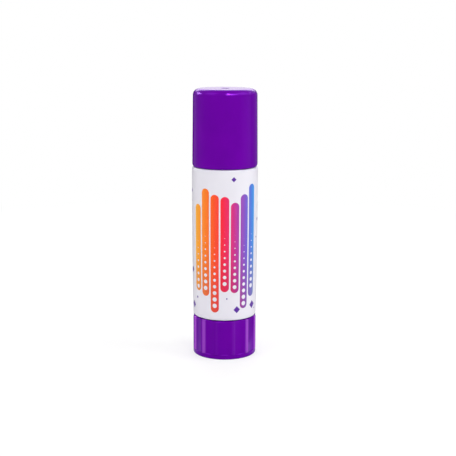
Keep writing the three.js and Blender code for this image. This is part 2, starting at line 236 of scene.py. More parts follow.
def rounded_profile(corners, closed, span=2.0, arc_steps=6, hold=0.04):
    """Rows of a turned profile, as an array of radius and height, from corners that each give their
    radius, height and rounding.

    Each corner becomes a circular arc tangent to both of its sides. Each side is divided into equal
    lengths of at most span, with one more row at the distance hold from each end, which keeps the
    smooth shading of the arc off the side. A side that is too short for that gets no rows.
    """
    places = np.array([corner[:2] for corner in corners], float)
    count = len(places)
    groups = []
    for i, corner in enumerate(corners):
        here = places[i]
        rounding = corner[2]
        if rounding == 0:
            groups.append(here[None])
            continue
        to_before = places[i - 1] - here
        to_after = places[(i + 1) % count] - here
        to_before /= np.linalg.norm(to_before)
        to_after /= np.linalg.norm(to_after)
        half_angle = math.acos(np.clip(to_before @ to_after, -1, 1)) / 2
        middle = to_before + to_after
        centre = here + middle / np.linalg.norm(middle) * rounding / math.sin(half_angle)
        start = here + to_before * rounding / math.tan(half_angle) - centre
        end = here + to_after * rounding / math.tan(half_angle) - centre
        turn = math.pi - 2 * half_angle
        share = np.linspace(0, 1, arc_steps + 1)[:, None]
        arc = (np.sin((1 - share) * turn) * start + np.sin(share * turn) * end) / math.sin(turn)
        groups.append(centre + arc)
    rows = [groups[0]]
    following = groups[1:] + ([groups[0]] if closed else [])
    for before, after in zip(groups, following):
        side = after[0] - before[-1]
        length = np.linalg.norm(side)
        if length > 3 * hold:
            inner = np.linspace(hold / length, 1 - hold / length, int(length / span) + 2)
            rows.append(before[-1] + inner[:, None] * side)
        rows.append(after)
    if closed:
        rows.pop()
    return np.concatenate(rows)


def round_grid(radii, heights, angles):
    """Points round the Z axis. radii and heights are arrays of rows by columns, or of rows alone."""
    rows = len(radii)
    radii = np.broadcast_to(radii.reshape(rows, -1), (rows, len(angles)))
    heights = np.broadcast_to(heights.reshape(rows, -1), (rows, len(angles)))
    return np.stack([radii * np.cos(angles), radii * np.sin(angles), heights], axis=2)


def new_object(name, data):
    """An object with its data, in the scene."""
    thing = bpy.data.objects.new(name, data)
    bpy.context.scene.collection.objects.link(thing)
    return thing


def grid_piece(name, grid, ends, material, body, nodes, wear=None):
    """A closed piece from a grid of points in mm. Its columns close on themselves.

    ends says how its rows do: "ring" joins the last row to the first, "poles" makes one point of
    each end row, which lies on the axis, and "caps" closes each end row with one flat face. wear,
    where it is given, says how worn each point is, which on the knob also places a painted highlight.
    """
    rows, columns = grid.shape[:2]
    points = grid.reshape(-1, 3)
    row_number = np.arange(rows if ends == "ring" else rows - 1)
    column_number = np.arange(columns)
    here = row_number[:, None] * columns + column_number
    beside = row_number[:, None] * columns + (column_number + 1) % columns
    above = (row_number[:, None] + 1) % rows * columns + column_number
    above_beside = (row_number[:, None] + 1) % rows * columns + (column_number + 1) % columns
    quads = np.stack([here, beside, above_beside, above], axis=2)
    if ends == "poles":
        low_pole = 0
        high_pole = (rows - 1) * columns
        low_fan = np.stack([np.full(columns, low_pole), above_beside[0], above[0]], axis=1)
        high_fan = np.stack([np.full(columns, high_pole), here[-1], beside[-1]], axis=1)
        used = np.ones(len(points), bool)
        used[1:columns] = False
        used[high_pole + 1:] = False
        renumber = np.cumsum(used) - 1
        faces = renumber[quads[1:-1].reshape(-1, 4)].tolist()
        faces += renumber[low_fan].tolist() + renumber[high_fan].tolist()
        points = points[used]
        wear = None if wear is None else wear.ravel()[used]
    else:
        faces = quads.reshape(-1, 4).tolist()
    if ends == "caps":
        faces.append(list(range(columns))[::-1])
        faces.append(list(range((rows - 1) * columns, rows * columns)))
    mesh = bpy.data.meshes.new(name)
    mesh.from_pydata((points * MM).tolist(), [], faces)
    mesh.polygons.foreach_set("use_smooth", np.ones(len(mesh.polygons), bool))
    mesh.materials.append(material)
    mesh.validate()
    mesh.update()
    if wear is not None:
        mesh.attributes.new("wear", "FLOAT", "POINT").data.foreach_set("value", wear)
    piece = new_object(name, mesh)
    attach(piece, body)
    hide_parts(*nodes)
    return piece


# Materials


def linear(hex_colour):
    """A colour written as sRGB hex, as linear red, green, blue and alpha."""
    parts = [int(hex_colour[i:i + 2], 16) / 255 for i in (1, 3, 5)]
    return [p / 12.92 if p <= 0.04045 else ((p + 0.055) / 1.055) ** 2.4 for p in parts] + [1.0]


def add(tree, kind, inputs=None, **settings):
    """Adds a node with its settings, and returns the first of its outputs that is in use.

    inputs maps a socket's name or number to a value, or to an output that feeds it.
    """
    node = tree.nodes.new(kind)
    for name, value in settings.items():
        setattr(node, name, value)
    for socket, value in (inputs or {}).items():
        if isinstance(value, bpy.types.NodeSocket):
            tree.links.new(value, node.inputs[socket])
        else:
            node.inputs[socket].default_value = value
    return next((output for output in node.outputs if output.enabled), None)


def new_material(name):
    """An empty node material, and what adds a node to it."""
    material = bpy.data.materials.new(name)
    material.use_nodes = True
    material.node_tree.nodes.clear()
    return material, partial(add, material.node_tree)


def arithmetic(node, operation, *values):
    """One step of arithmetic on numbers and outputs."""
    return node("ShaderNodeMath", dict(enumerate(values)), operation=operation)


def vector_step(node, operation, *vectors):
    """One step of arithmetic on vectors."""
    return node("ShaderNodeVectorMath", dict(enumerate(vectors)), operation=operation)


def vector_length(node, vector):
    """The length of a vector."""
    return vector_step(node, "LENGTH", vector).node.outputs["Value"]


def two_parts(node, vector):
    """The X and the Y of a vector."""
    parts = node("ShaderNodeSeparateXYZ", {"Vector": vector}).node.outputs
    return parts["X"], parts["Y"]


def spread(node, value, low, high, to_low=0.0, to_high=1.0, **settings):
    """A value carried over from the range low to high to the range to_low to to_high."""
    return node("ShaderNodeMapRange", {
        "Value": value, "From Min": low, "From Max": high, "To Min": to_low, "To Max": to_high,
    }, **settings)


def noise(node, place, size, detail):
    """Soft noise in patches that are about size across, in the units of place."""
    return node("ShaderNodeTexNoise", {"Vector": place, "Scale": 1 / size, "Detail": detail})


def blend(node, share, first, second):
    """The first colour where share is 0, the second where it is 1, and their mix between."""
    return node("ShaderNodeMix", {"Factor": share, "A": first, "B": second}, data_type="RGBA")


def bump(node, height, strength, depth, skin=None):
    """A skin that height raises by up to depth, in mm, and that lies over the skin it is given."""
    inputs = {"Height": height, "Strength": strength, "Distance": depth * MM}
    if skin is not None:
        inputs["Normal"] = skin
    return node("ShaderNodeBump", inputs)


# Sizes of the patterns in plastic, film and glue, in mm
PIGMENT_CLOUD = 9.0
DRAG_MARK = 0.7
MELT_WAVE = 5.0
SKIN_GRAIN = 0.25
PAPER_CLOUD = 12.0
FILM_WAVE = 4.0
GLUE_CLOUD = 3.0
GLUE_SMEAR = 0.9

# How much slower a pattern changes along its marks, and the part of a noise's range that is used
DRAG_STRETCH = 0.04
SMEAR_STRETCH = 0.25
CLOUD_RANGE = (0.35, 0.65)
MARK_RANGE = (0.3, 0.7)


def moulded_plastic(name, hex_colour, hex_deep, roughness, rough_end, specular=0.5, tint="#ffffff",
                    pearl=0.0, worn_and_highlight_colour=None, translucency=0.0):
    """Injection-moulded polypropylene: a gloss that isn't quite even, a skin with the faint waves of
    the cooled melt, drag marks along the draw of the mould, and a colour that is a little deeper
    where the pigment lies thicker. With a trace of pearl in the pigment, some of what the skin
    mirrors takes on the plastic's own colour. Where a piece says how worn it is and a paler colour is
    given, worn edges take it: partly wear, and partly a painted highlight."""
    material, node = new_material(name)
    place = node("ShaderNodeTexCoord").node.outputs["Object"]
    pigment = noise(node, place, PIGMENT_CLOUD * MM, detail=2.0)
    pigment = spread(node, pigment, *CLOUD_RANGE)
    colour = blend(node, pigment, linear(hex_deep), linear(hex_colour))
    draw_line = node("ShaderNodeMapping", {"Vector": place, "Scale": (1, 1, DRAG_STRETCH)})
    drag = noise(node, draw_line, DRAG_MARK * MM, detail=3.0)
    gloss = spread(node, drag, *MARK_RANGE, roughness, rough_end)
    # Paler worn edges: partly wear, partly a painted highlight
    if worn_and_highlight_colour:
        wear = node("ShaderNodeAttribute", attribute_name="wear").node.outputs["Fac"]
        colour = blend(node, wear, colour, linear(worn_and_highlight_colour))
    waves = noise(node, place, MELT_WAVE * MM, detail=1.0)
    grain = noise(node, place, SKIN_GRAIN * MM, detail=2.0)
    skin = bump(node, waves, strength=0.2, depth=0.05)
    skin = bump(node, drag, strength=0.1, depth=0.006, skin=skin)
    skin = bump(node, grain, strength=0.1, depth=0.003, skin=skin)
    shader = node("ShaderNodeBsdfPrincipled", {
        "Base Color": colour,
        "Metallic": pearl,
        "Roughness": gloss,
        "IOR": 1.49,
        "Specular IOR Level": specular,
        "Specular Tint": linear(tint),
        "Subsurface Weight": translucency,
        "Subsurface Radius": (1.0, 0.8, 0.7),
        "Subsurface Scale": 1.2 * MM,
        "Normal": skin,
    })
    node("ShaderNodeOutputMaterial", {"Surface": shader})
    return material


# The print on the label: upright rounded bars round the front, in a colour run from amber to blue,
# with white dots that shrink up each bar. The same bars stand small further round to one side, and a
# framed field with ruled lines to the other. Violet lozenges are scattered over the rest. Sizes are
# in mm of film, and a wave's two numbers are its radians from bar to bar and at the middle bar.
BAR_PITCH = 3.3
BAR_COUNT = 7
BAR_HALF_WIDTH = 1.4
BAR_MIDDLE = 23.0
BAR_HALF_LENGTH = 15.2
BAR_STAGGER = 1.9
STAGGER_WAVE = (2.4, 0.7)
BAR_SWELL = 2.6
SWELL_WAVE = (1.7, 2.1)
BAR_DEEPENING = 0.35
ROW_HALF_WIDTH = BAR_PITCH * BAR_COUNT / 2
DOT_PITCH = 2.1
DOT_RADIUS = 0.72
LAST_DOT = 3.0
SMALL_BARS_FROM = 14.0
SMALL_BARS_MIDDLE = 20.5
SMALL_BARS_SCALE = 0.36
LOZENGE_SPACING = 6.0
LOZENGE_RANDOMNESS = 0.8
LOZENGE_CHANCE = 0.2
LOZENGE_SMALLEST = 0.3
LOZENGE_LARGEST = 1.35
LOZENGE_OFF_ROW = 1.0
LOZENGE_OFF_REST = 1.6
PRINT_MARGIN = 2.2
PRINT_BLUR = 0.05
FIELD_MIDDLE = -25.0
FIELD_HALF_WIDTH = 8.0
FIELD_HALF_HEIGHT = 15.5
FIELD_CORNER = 1.6
FIELD_LINE = 0.14
RULE_PITCH = 5.0
COLOUR_RUN = [
    (0.0, "#ffb400"),
    (0.16, "#ff8c00"),
    (0.32, "#ff5a00"),
    (0.46, "#fb1030"),
    (0.58, "#e0106c"),
    (0.70, "#a530a4"),
    (0.82, "#6a4cc6"),
    (0.92, "#4078da"),
    (1.0, "#30a0e2"),
]
VIOLET_INK = "#56169a"
DEEP_INK = "#a4003c"
film_half_height = (label_top - label_base) / 2


def inked(node, depth):
    """1 inside an outline and 0 outside it, from the depth inside it in mm, with a slight blur."""
    return spread(node, depth, -PRINT_BLUR, PRINT_BLUR)


def bar_place(node, around, up):
    """Where a place on the film lies in the row of bars: across its bar, above its bar's middle, how
    deep inside the bar's outline, and half the length of its bar's middle line. A bar is all that
    lies within half its width of that line, whose middle and length follow a sine and a cosine of
    the bar's number."""
    maths = partial(arithmetic, node)
    cell = maths("MULTIPLY_ADD", around, 1 / BAR_PITCH, 0.5)
    number = maths("FLOOR", cell)
    across = maths("SUBTRACT", cell, number)
    across = maths("MULTIPLY_ADD", across, BAR_PITCH, -BAR_PITCH / 2)
    middle = maths("MULTIPLY_ADD", number, *STAGGER_WAVE)
    middle = maths("SINE", middle)
    middle = maths("MULTIPLY_ADD", middle, BAR_STAGGER, BAR_MIDDLE)
    half_length = maths("MULTIPLY_ADD", number, *SWELL_WAVE)
    half_length = maths("COSINE", half_length)
    half_length = maths("MULTIPLY_ADD", half_length, BAR_SWELL, BAR_HALF_LENGTH)
    above = maths("SUBTRACT", up, middle)
    past_end = maths("ABSOLUTE", above)
    past_end = maths("SUBTRACT", past_end, half_length)
    past_end = maths("MAXIMUM", past_end, 0.0)
    away = node("ShaderNodeCombineXYZ", {"X": across, "Y": past_end})
    depth = maths("SUBTRACT", BAR_HALF_WIDTH, vector_length(node, away))
    return across, above, depth, half_length


def bar_print(node, around, up):
    """How much of the bars' ink lies at a place of the film, and its colour. Up each bar runs a
    column of bare dots, which shrink to nothing above its middle. The colour runs along the row and
    is deeper towards the bottom."""
    maths = partial(arithmetic, node)
    on_small = maths("GREATER_THAN", around, SMALL_BARS_FROM)
    small_around = spread(
        node, around, SMALL_BARS_MIDDLE, SMALL_BARS_MIDDLE + SMALL_BARS_SCALE, clamp=False)
    small_up = spread(
        node, up, BAR_MIDDLE, BAR_MIDDLE + SMALL_BARS_SCALE, BAR_MIDDLE, BAR_MIDDLE + 1, clamp=False)
    around = node("ShaderNodeMix", {"Factor": on_small, "A": around, "B": small_around})
    up = node("ShaderNodeMix", {"Factor": on_small, "A": up, "B": small_up})
    across, above, depth, half_length = bar_place(node, around, up)
    off_middle = maths("ABSOLUTE", around)
    in_row = maths("LESS_THAN", off_middle, ROW_HALF_WIDTH)
    bar = maths("MULTIPLY", inked(node, depth), in_row)

    dot_cell = maths("MULTIPLY", above, 1 / DOT_PITCH)
    dot_number = maths("ROUND", dot_cell)
    along = maths("SUBTRACT", dot_cell, dot_number)
    along = maths("MULTIPLY", along, DOT_PITCH)
    from_dot = node("ShaderNodeCombineXYZ", {"X": across, "Y": along})
    dot_radius = spread(
        node, dot_number, -BAR_HALF_LENGTH / DOT_PITCH, LAST_DOT, DOT_RADIUS, -PRINT_BLUR)
    past_dot = maths("SUBTRACT", vector_length(node, from_dot), dot_radius)
    dot_height = maths("MULTIPLY", dot_number, DOT_PITCH)
    dot_height = maths("ABSOLUTE", dot_height)
    past_line = maths("GREATER_THAN", dot_height, half_length)
    off_dot = maths("MAXIMUM", inked(node, past_dot), past_line)
    ink = maths("MULTIPLY", bar, off_dot)

    run = spread(node, around, -ROW_HALF_WIDTH, ROW_HALF_WIDTH)
    ramp = node("ShaderNodeValToRGB", {"Fac": run})
    stops = ramp.node.color_ramp.elements
    while len(stops) < len(COLOUR_RUN):
        stops.new(0.5)
    for stop, (position, hex_colour) in zip(stops, COLOUR_RUN):
        stop.position = position
        stop.color = linear(hex_colour)
    deepening = spread(node, above, -BAR_HALF_LENGTH, 0.0, BAR_DEEPENING, 0.0)
    return ink, blend(node, deepening, ramp, linear(DEEP_INK))


def lozenge_print(node, film):
    """How much of the lozenges' ink lies at a place of the film. They are the diamonds round
    scattered points, each by chance larger or smaller, and only those stay whose point lies clear of
    the bars, the field and the film's long edges."""
    maths = partial(arithmetic, node)
    scatter = node("ShaderNodeTexVoronoi", {
        "Vector": film, "Scale": 1 / LOZENGE_SPACING, "Randomness": LOZENGE_RANDOMNESS,
    }, voronoi_dimensions="2D", distance="MANHATTAN").node
    chance, _ = two_parts(node, scatter.outputs["Color"])
    size = spread(
        node, chance, LOZENGE_CHANCE, 1.0,
        LOZENGE_SMALLEST / LOZENGE_SPACING, LOZENGE_LARGEST / LOZENGE_SPACING)
    inside = maths("SUBTRACT", size, scatter.outputs["Distance"])
    inside = maths("MULTIPLY", inside, LOZENGE_SPACING)
    point_around, point_up = two_parts(node, scatter.outputs["Position"])
    _, _, depth, _ = bar_place(node, point_around, point_up)
    clear_of_bars = maths("LESS_THAN", depth, -LOZENGE_LARGEST)
    off_middle = maths("ABSOLUTE", point_around)
    beside_row = maths("GREATER_THAN", off_middle, ROW_HALF_WIDTH + LOZENGE_OFF_ROW)
    clear_of_bars = maths("MAXIMUM", clear_of_bars, beside_row)
    small_half_width = ROW_HALF_WIDTH * SMALL_BARS_SCALE + LOZENGE_OFF_REST
    on_small_bars = maths("COMPARE", point_around, SMALL_BARS_MIDDLE, small_half_width)
    on_field = maths("COMPARE", point_around, FIELD_MIDDLE, FIELD_HALF_WIDTH + LOZENGE_OFF_REST)
    taken = maths("MAXIMUM", on_small_bars, on_field)
    free = maths("SUBTRACT", clear_of_bars, taken)
    free = maths("GREATER_THAN", free, 0.5)
    off_edges = maths("COMPARE", point_up, film_half_height, film_half_height - PRINT_MARGIN)
    lozenge = maths("MULTIPLY", inked(node, inside), free)
    return maths("MULTIPLY", lozenge, off_edges)


def field_print(node, film, up):
    """How much ink lies at a place of the film from the field's thin frame, which has round corners,
    and how much from the ruled lines inside it."""
    maths = partial(arithmetic, node)
    from_middle = vector_step(node, "SUBTRACT", film, (FIELD_MIDDLE, film_half_height, 0))
    from_middle = vector_step(node, "ABSOLUTE", from_middle)
    corner_start = (FIELD_HALF_WIDTH - FIELD_CORNER, FIELD_HALF_HEIGHT - FIELD_CORNER, 0)
    past_corner = vector_step(node, "SUBTRACT", from_middle, corner_start)
    past_corner = vector_step(node, "MAXIMUM", past_corner, (0, 0, 0))
    frame_line = maths("COMPARE", vector_length(node, past_corner), FIELD_CORNER, FIELD_LINE)
    to_rule = maths("SUBTRACT", up, film_half_height)
    to_rule = maths("PINGPONG", to_rule, RULE_PITCH / 2)
    ruled = maths("LESS_THAN", to_rule, FIELD_LINE / 2)
    off_across, off_up = two_parts(node, from_middle)
    between_sides = maths("LESS_THAN", off_across, FIELD_HALF_WIDTH - FIELD_CORNER)
    between_ends = maths("LESS_THAN", off_up, FIELD_HALF_HEIGHT - RULE_PITCH / 2)
    ruled = maths("MULTIPLY", ruled, between_sides)
    ruled = maths("MULTIPLY", ruled, between_ends)
    return frame_line, ruled


def printed_film():
    """Glossy white label film with an offset print under a clear varnish. It shows even colour with
    crisp edges, and a soft sheen that the film's faint waves break up. Its map gives the distance
    round the barrel from the front and the height above the film's lower edge, both in mm."""
    material, node = new_material("printed_film")
    film = node("ShaderNodeUVMap", uv_map="film_mm")
    around, up = two_parts(node, film)
    bar_ink, bar_colour = bar_print(node, around, up)
    violet_ink = lozenge_print(node, film)
    for field_ink in field_print(node, film, up):
        violet_ink = arithmetic(node, "MAXIMUM", violet_ink, field_ink)
    paper = noise(node, film, PAPER_CLOUD, detail=2.0)
    colour = blend(node, paper, linear("#e6e3ec"), linear("#ebe9f0"))
    colour = blend(node, violet_ink, colour, linear(VIOLET_INK))
    colour = blend(node, bar_ink, colour, bar_colour)
    waves = noise(node, film, FILM_WAVE, detail=2.0)
    shader = node("ShaderNodeBsdfPrincipled", {
        "Base Color": colour,
        "Roughness": spread(node, waves, 0.0, 1.0, 0.29, 0.37),
        "IOR": 1.5,
        "Specular IOR Level": 0.4,
        "Normal": bump(node, waves, strength=0.2, depth=0.04),
    })
    node("ShaderNodeOutputMaterial", {"Surface": shader})
    return material


def solid_glue():
    """Waxy glue, cast and then worn on paper: it is nearly matt, light sinks into it, and smears run
    over its top."""
    material, node = new_material("solid_glue")
    place = node("ShaderNodeTexCoord").node.outputs["Object"]
    cloud = noise(node, place, GLUE_CLOUD * MM, detail=4.0)
    smear_place = node("ShaderNodeMapping", {"Vector": place, "Scale": (SMEAR_STRETCH, 1, 1)})
    smear = noise(node, smear_place, GLUE_SMEAR * MM, detail=4.0)
    shader = node("ShaderNodeBsdfPrincipled", {
        "Base Color": blend(node, cloud, linear("#8a4cc0"), linear("#9a60cc")),
        "Roughness": spread(node, smear, 0.0, 1.0, 0.5, 0.75),
        "IOR": 1.45,
        "Specular IOR Level": 0.06,
        "Subsurface Weight": 0.4,
        "Subsurface Radius": (1.0, 0.5, 1.2),
        "Subsurface Scale": 1.5 * MM,
        "Normal": bump(node, smear, strength=0.4, depth=0.12),
    })
    node("ShaderNodeOutputMaterial", {"Surface": shader})
    return material


# The violet plastic is deep in colour, with lilac glints. The cap's is the glossiest, and the knob's
# is dulled by fingers. The white plastic is satin, and the undyed one is a little cloudy, like milk.
VIOLET_PLASTIC = {
    "hex_colour": "#6b00a2",
    "hex_deep": "#65009c",
    "specular": 0.04,
    "tint": "#ffecff",
    "pearl": 0.11,
}
violet_pp = moulded_plastic("violet_polypropylene", roughness=0.12, rough_end=0.18, **VIOLET_PLASTIC)
# The knob's lands take a paler colour: partly wear, partly a painted highlight
knob_pp = moulded_plastic(
    "handled_and_highlighted_violet_polypropylene", roughness=0.19, rough_end=0.26, worn_and_highlight_colour="#a44ecb",
    **VIOLET_PLASTIC)
white_pp = moulded_plastic(
    "white_polypropylene", "#e9e6f0", "#e4e1ec", roughness=0.3, rough_end=0.38, translucency=0.15)
natural_pp = moulded_plastic(
    "undyed_polypropylene", "#e6e2d8", "#ded9cc", roughness=0.34, rough_end=0.42, translucency=0.3)
film_print = printed_film()
glue_wax = solid_glue()


# Pieces


def make_cap():
    """The cap is turned from one closed profile, whose rounding at the mouth is drawn up the wall to a
    quarter of an ellipse. Down its inside run grip ribs, where its inner wall stands in by the ribs'
    height."""
    ceiling = cap_top - CAP_TOP_WALL
    profile = rounded_profile([
        (0, ceiling, 0),
        (CAP_BORE_RADIUS, ceiling, CAP_CEILING_ROUNDING),
        (CAP_BORE_RADIUS, cap_mouth, EASED),
        (cap_radius, cap_mouth, CAP_MOUTH_ROUNDING),
        (CAP_CROWN_RADIUS, cap_top, CAP_CROWN_ROUNDING),
        (GATE_RECESS_RADIUS, cap_top, GATE_EDGE_ROUNDING),
        (GATE_RECESS_RADIUS, cap_top - GATE_RECESS_DEPTH, CRISP),
        (0, cap_top - GATE_RECESS_DEPTH, 0),
    ], closed=False, span=1.2, arc_steps=10)
    radii, heights = profile.T
    crown_start = cap_top - CAP_CROWN_ROUNDING
    stretched = np.interp(
        heights,
        [cap_mouth, cap_mouth + CAP_MOUTH_ROUNDING, crown_start, cap_top],
        [cap_mouth, cap_mouth + CAP_MOUTH_RISE, crown_start, cap_top])
    heights = np.where(radii > cap_radius - CAP_MOUTH_ROUNDING, stretched, heights)
    angles = even_angles(CAP_COLUMNS)
    on_bore = np.abs(radii - CAP_BORE_RADIUS) < ON_WALL
    rib_start = cap_mouth + GRIP_RIB_START
    rib_end = cap_mouth + GRIP_RIB_END
    past_start = smooth_step(heights, rib_start - GRIP_RIB_RUNOUT, rib_start + GRIP_RIB_RUNOUT)
    past_end = smooth_step(heights, rib_end - GRIP_RIB_RUNOUT, rib_end + GRIP_RIB_RUNOUT)
    down_bore = on_bore * past_start * (1 - past_end)
    ribs = near_spokes(angles, GRIP_RIBS, GRIP_RIB_WIDTH, CAP_BORE_RADIUS, RIB_EDGE_BLUR)
    radii = radii[:, None] - GRIP_RIB_HEIGHT * down_bore[:, None] * ribs
    grid = round_grid(radii, heights, angles)
    grid_piece("cap_shell", grid, "poles", violet_pp, "cap", ["cap"])


def wall_flare(heights):
    """How far the barrel's wall stands out past its foot, in mm: the flare at the shoulder, less the
    cube of the share of the height that is left up to there."""
    left = (SHOULDER_HEIGHT - heights) / (SHOULDER_HEIGHT - barrel_base)
    return (barrel_radius - BARREL_FOOT_RADIUS) * (1 - left ** 3)


def make_barrel():
    """The barrel is turned from one closed ring profile. Its outer wall then takes its flare, and down
    the bore run guide ribs, where the inner wall stands in by the ribs' height."""
    groove_low, groove_high = SNAP_GROOVE_HEIGHTS
    groove_slope = SNAP_GROOVE_RADIUS - COUNTERBORE_RADIUS
    bead_low = SHOULDER_HEIGHT + NECK_BEAD_RISE
    profile = rounded_profile([
        (BARREL_FOOT_RADIUS, barrel_base, ROUND),
        (BARREL_FOOT_RADIUS, SHOULDER_HEIGHT, ROUND),
        (NECK_RADIUS, SHOULDER_HEIGHT, EASED),
        (NECK_RADIUS, bead_low, CRISP),
        (NECK_BEAD_RADIUS, bead_low + NECK_BEAD_WIDTH / 3, SOFT),
        (NECK_BEAD_RADIUS, bead_low + NECK_BEAD_WIDTH * 2 / 3, SOFT),
        (NECK_RADIUS, bead_low + NECK_BEAD_WIDTH, CRISP),
        (NECK_RADIUS, barrel_rim, ROUND),
        (BORE_RADIUS, barrel_rim, SOFTER),
        (BORE_RADIUS, COUNTERBORE_TOP, CRISP),
        (COUNTERBORE_RADIUS, COUNTERBORE_TOP, CRISP),
        (COUNTERBORE_RADIUS, groove_high, SHARP),
        (SNAP_GROOVE_RADIUS, groove_high - groove_slope, CRISP),
        (SNAP_GROOVE_RADIUS, groove_low + groove_slope, CRISP),
        (COUNTERBORE_RADIUS, groove_low, SHARP),
        (COUNTERBORE_RADIUS, barrel_base, CRISP),
    ], closed=True, span=1.5)
    radii, heights = profile.T
    radii = radii + wall_flare(heights) * (radii > BARREL_FOOT_RADIUS - OUTER_WALL_DEPTH)
    angles = even_angles(BARREL_COLUMNS)
    on_bore = np.abs(radii - BORE_RADIUS) < ON_WALL
    rib_top = barrel_rim - GUIDE_RIB_STOP
    below_top = smooth_step(-heights, -rib_top - GUIDE_RIB_RUNOUT, -rib_top + GUIDE_RIB_RUNOUT)
    up_bore = on_bore * below_top
    ribs = near_spokes(angles, GUIDE_RIBS, GUIDE_RIB_WIDTH, BORE_RADIUS, RIB_EDGE_BLUR)
    radii = radii[:, None] - GUIDE_RIB_HEIGHT * up_bore[:, None] * ribs
    grid = round_grid(radii, heights, angles)
    grid_piece("barrel_tube", grid, "ring", white_pp, "barrel", ["barrel"])


def make_label():
    """The label is a strip of film carried round the barrel for one turn and an overlap. Its radius
    follows the barrel's flare and rises by a little more than the film's thickness where the end laps
    over the start. Rows close to its two long edges keep the smooth shading of the cut edge off its
    face."""
    seam = math.radians(FILM_SEAM_DEGREES)
    overlap = FILM_OVERLAP / label_radius
    wrap = np.linspace(0, TURN + overlap, FILM_STEPS)
    inner_rows = np.linspace(label_base + FILM_EDGE_HOLD, label_top - FILM_EDGE_HOLD, FILM_ROWS)
    heights = np.concatenate([[label_base], inner_rows, [label_top]])
    inner = BARREL_FOOT_RADIUS + FILM_GAP + wall_flare(heights)
    lap = smooth_step(wrap, TURN - LAP_RAMP_START, TURN - LAP_RAMP_END)
    lift = FILM_THICKNESS * LAP_LIFT * lap
    section_radius = np.concatenate([(inner + FILM_THICKNESS)[::-1], inner])
    section_height = np.concatenate([heights[::-1], heights])
    radii = section_radius[None, :] + lift[:, None]
    angles = seam + wrap
    grid = np.stack([
        radii * np.cos(angles)[:, None],
        radii * np.sin(angles)[:, None],
        np.broadcast_to(section_height, radii.shape),
    ], axis=2)
    piece = grid_piece("label_film", grid, "caps", film_print, "barrel", ["label"])
    mesh = piece.data
    around = (angles - seam) * label_radius
    front_place = (1.5 * math.pi - seam) * label_radius
    print_around = np.broadcast_to((around - front_place)[:, None], radii.shape)
    print_up = np.broadcast_to(section_height - label_base, radii.shape)
    film_map = np.stack([print_around, print_up], axis=2).reshape(-1, 2)
    corners = np.empty(len(mesh.loops), int)
    mesh.loops.foreach_get("vertex_index", corners)
    layer = mesh.uv_layers.new(name="film_mm")
    layer.data.foreach_set("uv", film_map[corners].ravel())


